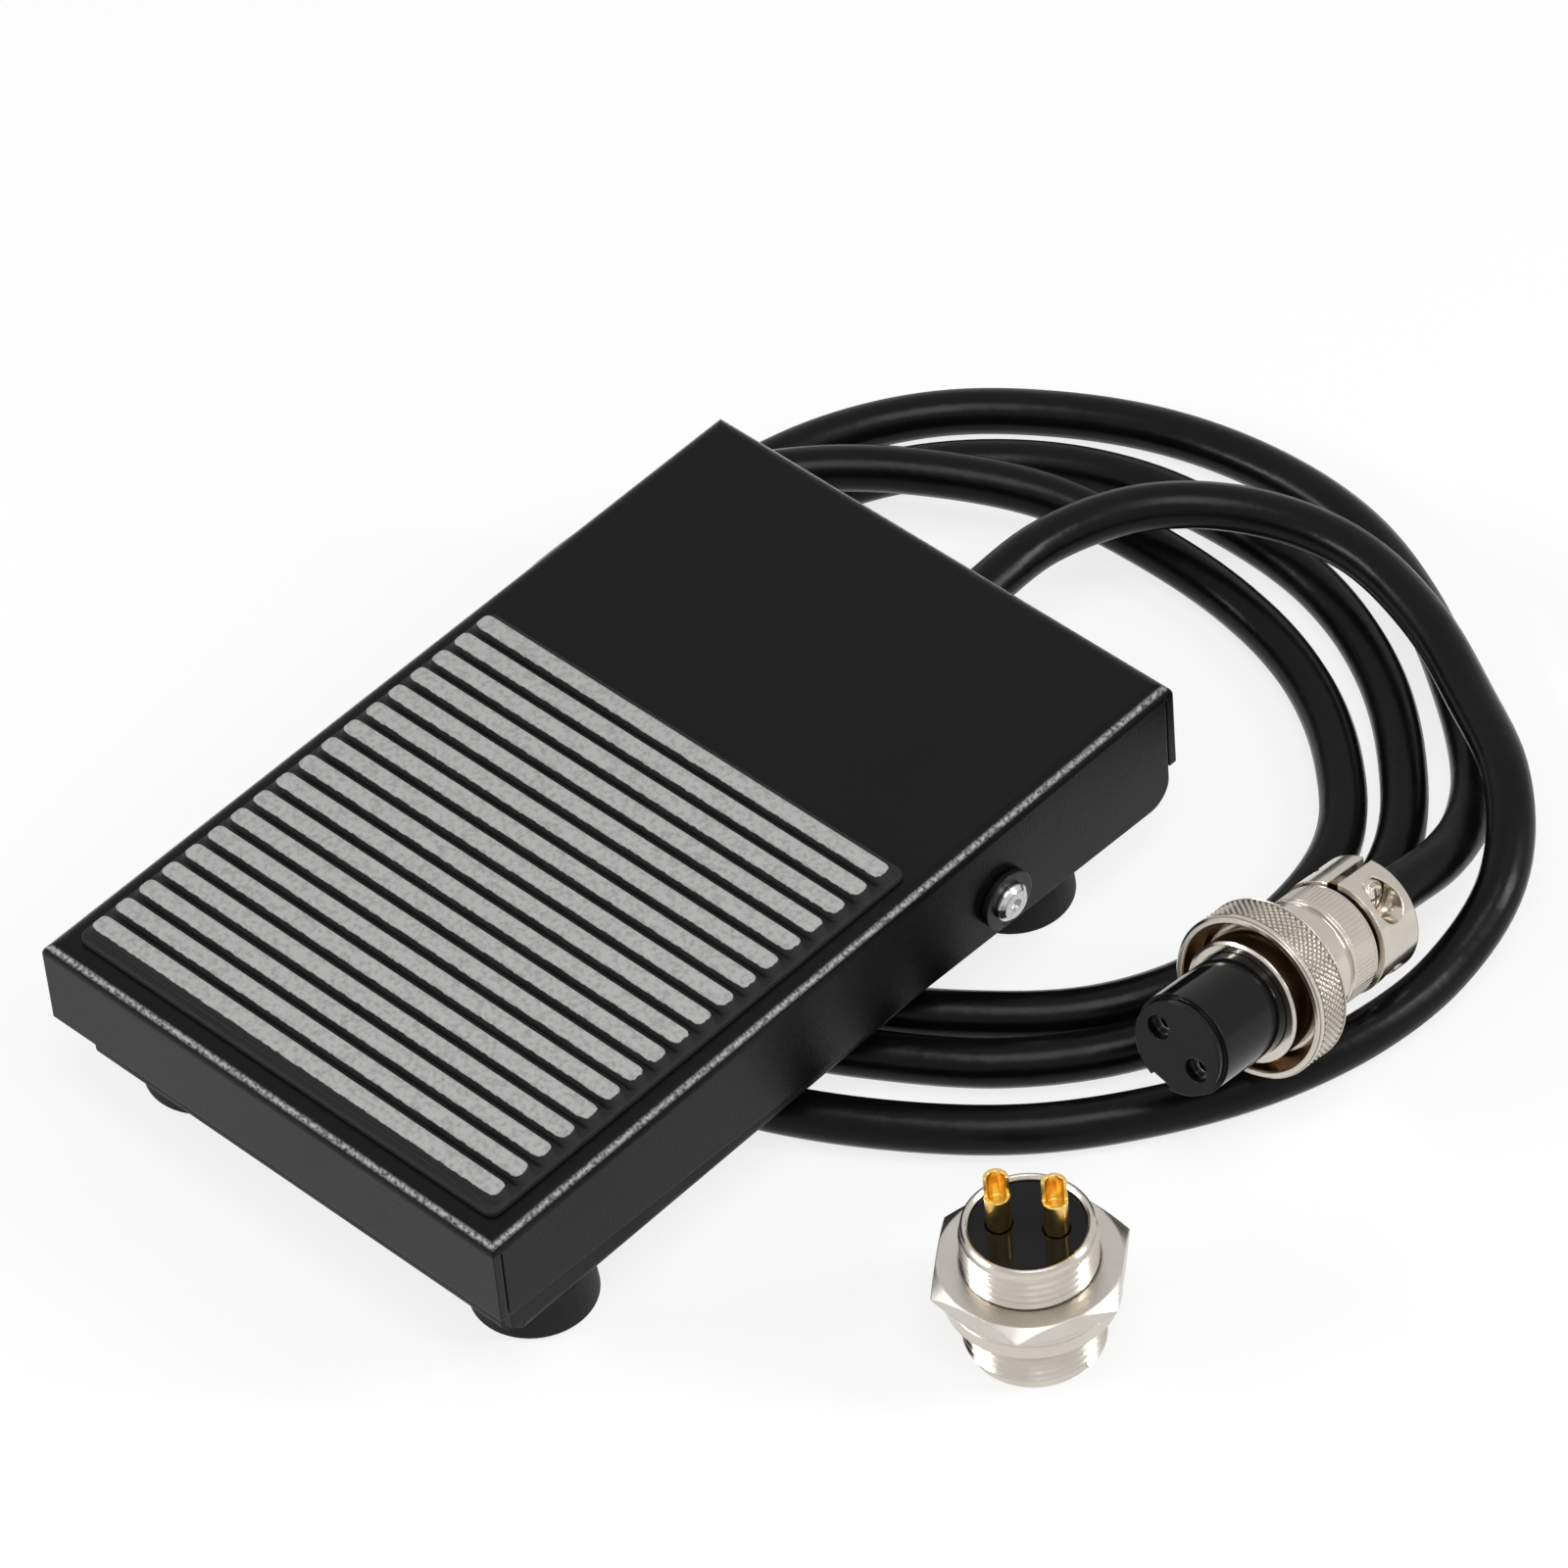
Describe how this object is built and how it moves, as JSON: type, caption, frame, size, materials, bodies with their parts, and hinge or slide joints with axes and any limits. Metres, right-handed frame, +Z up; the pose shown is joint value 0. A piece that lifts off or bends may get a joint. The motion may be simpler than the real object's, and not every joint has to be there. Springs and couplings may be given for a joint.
{
  "type": "industrial foot switch",
  "caption": "Low steel foot pedal with ribbed rubber pad, hinged cover over a snap-action switch, coiled black cable, round threaded plug and loose panel socket.",
  "frame": {"origin": "centre of the mounting-hole pattern on the base tray's underside; the floor is one foot height below it", "axes": "+X to the pedal's right, +Y to the rear where the cable leaves, +Z up"},
  "size_m": [0.1246, 0.1557, 0.0262],
  "materials": {
    "black_powder_coat": "semi-gloss fine-texture powder coat",
    "tray_black": "satin powder coat",
    "rubber_black": "matt moulded rubber",
    "pad_rubber": "ribbed rubber, rib tops worn grey",
    "polished_steel": "polished",
    "zinc_steel": "bright zinc",
    "blackened_steel": "black oxide",
    "spring_steel": "drawn wire",
    "case_black": "matt moulded",
    "case_red": "matt moulded",
    "plunger_ivory": "matt moulded",
    "tag_brass": "tinned brass",
    "insulation_paper": "pressed insulating board",
    "clamp_black": "matt moulded nylon",
    "wire_red": "satin insulation",
    "cord_black": "satin jacket with a soft sheen",
    "nickel": "bright nickel plate",
    "insert_black": "glossy moulded insulator",
    "gold": "gold plate"
  },
  "bodies": {
    "base": {"base_tray": "tray_black", "rubber_feet": "rubber_black", "foot_screws": "zinc_steel", "foot_nuts": "zinc_steel", "axle": "polished_steel", "axle_clips": "blackened_steel", "return_springs": "spring_steel", "micro_case": "case_black", "micro_lid": "case_red", "micro_terminals": "tag_brass", "micro_bracket": "zinc_steel", "micro_screws": "zinc_steel", "micro_nuts": "zinc_steel", "bracket_screws": "zinc_steel", "insulation_sheet": "insulation_paper", "cable_grommet": "rubber_black", "cord_clamp_base": "clamp_black", "cord_clamp_strap": "clamp_black", "cord_clamp_screws": "zinc_steel", "core_wires": "wire_red", "cord": "cord_black", "plug_front_shell": "nickel", "plug_insert": "insert_black", "plug_contacts": "gold", "plug_rear_shell": "nickel", "plug_clamp": "nickel", "plug_clamp_screws": "nickel", "socket_shell": "nickel", "socket_insulator": "insert_black", "socket_pins": "gold", "socket_nut": "nickel", "socket_washer": "nickel"},
    "pedal": {"pedal_cover": "black_powder_coat", "pedal_pad": "pad_rubber", "spring_cups": "zinc_steel", "striker_button": "zinc_steel"},
    "switch_lever": {"micro_lever": "spring_steel"},
    "switch_plunger": {"micro_plunger": "plunger_ivory"},
    "coupling_ring": {"coupling_ring": "nickel"}
  },
  "joints": [
    {"name": "pedal_tilt", "type": "hinge", "parent": "base", "child": "pedal", "pos_m": [0, 0.027, 0.0075], "axis": [1, 0, 0], "range_deg": [0, 3], "stiffness_Nm_per_rad": 4.8, "springref_deg": -2.98, "deforming": ["return_springs"]},
    {"name": "switch_lever_tilt", "type": "hinge", "parent": "base", "child": "switch_lever", "pos_m": [0, 0.0084, 0.0131], "axis": [1, 0, 0], "range_deg": [0, 6]},
    {"name": "switch_plunger_slide", "type": "slide", "parent": "base", "child": "switch_plunger", "axis": [0, 0, -1], "range_m": [0, 0.00054]},
    {"name": "coupling_ring_spin", "type": "hinge", "parent": "base", "child": "coupling_ring", "pos_m": [0.0647, 0.0333, 0.0093], "axis": [0.0695, -0.9699, 0.2334], "continuous": true}
  ],
  "couplings": [
    {"joint": "switch_lever_tilt", "follows": "pedal_tilt", "ratio": 2},
    {"joint": "switch_plunger_slide", "follows": "pedal_tilt", "m_per_rad": 0.010313}
  ]
}
